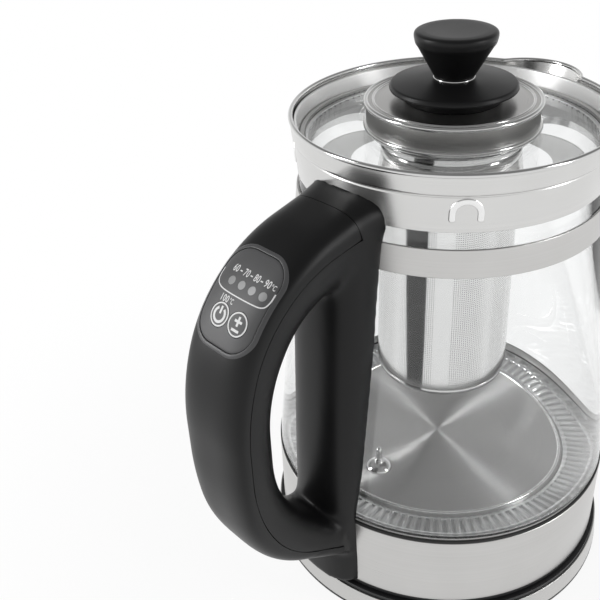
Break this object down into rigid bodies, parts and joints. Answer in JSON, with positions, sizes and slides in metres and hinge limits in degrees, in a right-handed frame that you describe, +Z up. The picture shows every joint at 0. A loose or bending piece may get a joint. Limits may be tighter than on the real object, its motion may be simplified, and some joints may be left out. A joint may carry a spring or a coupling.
{
  "type": "glass electric tea kettle",
  "caption": "Glass electric tea kettle with a hanging infuser, steel collar, temperature keys in the handle and a round power base it turns on.",
  "frame": {"origin": "on the jar's axis at the table, in the plane of the feet of the power base", "axes": "+Z up along the jar's axis, +X towards the pouring lip, handle towards -X"},
  "size_m": [0.2299, 0.172, 0.262],
  "materials": {
    "black_shell": "satin moulded black",
    "dark_moulding": "matt heat-proof black",
    "panel_grey": "smooth dark grey",
    "bezel_grey": "satin mid grey",
    "brushed_steel": "fine brushed",
    "polished_steel": "polished",
    "clear_glass": "clear",
    "clear_plastic": "clear ribbed",
    "black_rubber": "matt",
    "pale_silicone": "matt translucent",
    "contact_brass": "bright",
    "plain_aluminium": "as cast",
    "board_green": "lacquered",
    "lamp_clear": "clear milky",
    "screw_steel": "plated"
  },
  "bodies": {
    "power_base": {"base_plate": "black_shell", "base_feet": "black_rubber", "base_shell": "black_shell", "base_skirt": "brushed_steel", "base_screws": "screw_steel", "connector_post": "dark_moulding", "post_contacts": "contact_brass", "cord_gland": "black_rubber"},
    "turn_ring": {"turn_ring": "dark_moulding"},
    "kettle": {"bottom_cover": "black_shell", "cover_screws": "screw_steel", "socket": "dark_moulding", "socket_pins": "contact_brass", "foot_chassis": "dark_moulding", "foot_band": "brushed_steel", "control_unit": "dark_moulding", "heater_element": "plain_aluminium", "heat_spreader": "plain_aluminium", "heater_plate": "brushed_steel", "plate_seal": "pale_silicone", "sensor_probe": "polished_steel", "light_ring": "clear_plastic", "jar_seal": "black_rubber", "glass_jar": "clear_glass", "clamp_band": "brushed_steel", "collar_seal": "pale_silicone", "collar": "polished_steel", "handle_frame": "black_shell", "handle_cover": "black_shell", "foot_screws": "screw_steel", "grip_screws": "screw_steel", "control_board": "board_green", "key_switches": "dark_moulding", "panel_bezel": "bezel_grey", "panel_face": "panel_grey", "panel_lamps": "lamp_clear"},
    "power_key": {"power_key": "panel_grey"},
    "level_key": {"level_key": "panel_grey"},
    "lid": {"lid_ring": "polished_steel", "lid_seal": "pale_silicone", "lid_glass": "clear_glass"},
    "basket": {"basket_rim": "polished_steel", "basket_wall": "polished_steel", "basket_floor": "polished_steel"},
    "cap": {"cap_shell": "brushed_steel", "cap_seal": "pale_silicone", "heat_shield": "black_shell", "knob_collar": "polished_steel", "knob": "black_shell", "knob_screw": "screw_steel"}
  },
  "joints": [
    {"name": "swivel", "type": "hinge", "parent": "power_base", "child": "turn_ring", "pos_m": [0, 0, 0.02], "axis": [0, 0, 1], "continuous": true},
    {"name": "lift", "type": "slide", "parent": "turn_ring", "child": "kettle", "axis": [0, 0, 1], "range_m": [0, 0.08]},
    {"name": "power_press", "type": "slide", "parent": "kettle", "child": "power_key", "axis": [0.8028, 0, -0.5962], "range_m": [0, 0.0008], "stiffness_N_per_m": 800},
    {"name": "level_rock", "type": "hinge", "parent": "kettle", "child": "level_key", "pos_m": [-0.12576, -0.0062, 0.1834], "axis": [0, 1, 0], "range_deg": [-4, 4], "stiffness_Nm_per_rad": 0.02},
    {"name": "lid_lift", "type": "slide", "parent": "kettle", "child": "lid", "axis": [0, 0, 1], "range_m": [0, 0.06]},
    {"name": "basket_lift", "type": "slide", "parent": "lid", "child": "basket", "axis": [0, 0, 1], "range_m": [0, 0.13]},
    {"name": "cap_lift", "type": "slide", "parent": "basket", "child": "cap", "axis": [0, 0, 1], "range_m": [0, 0.04]}
  ]
}
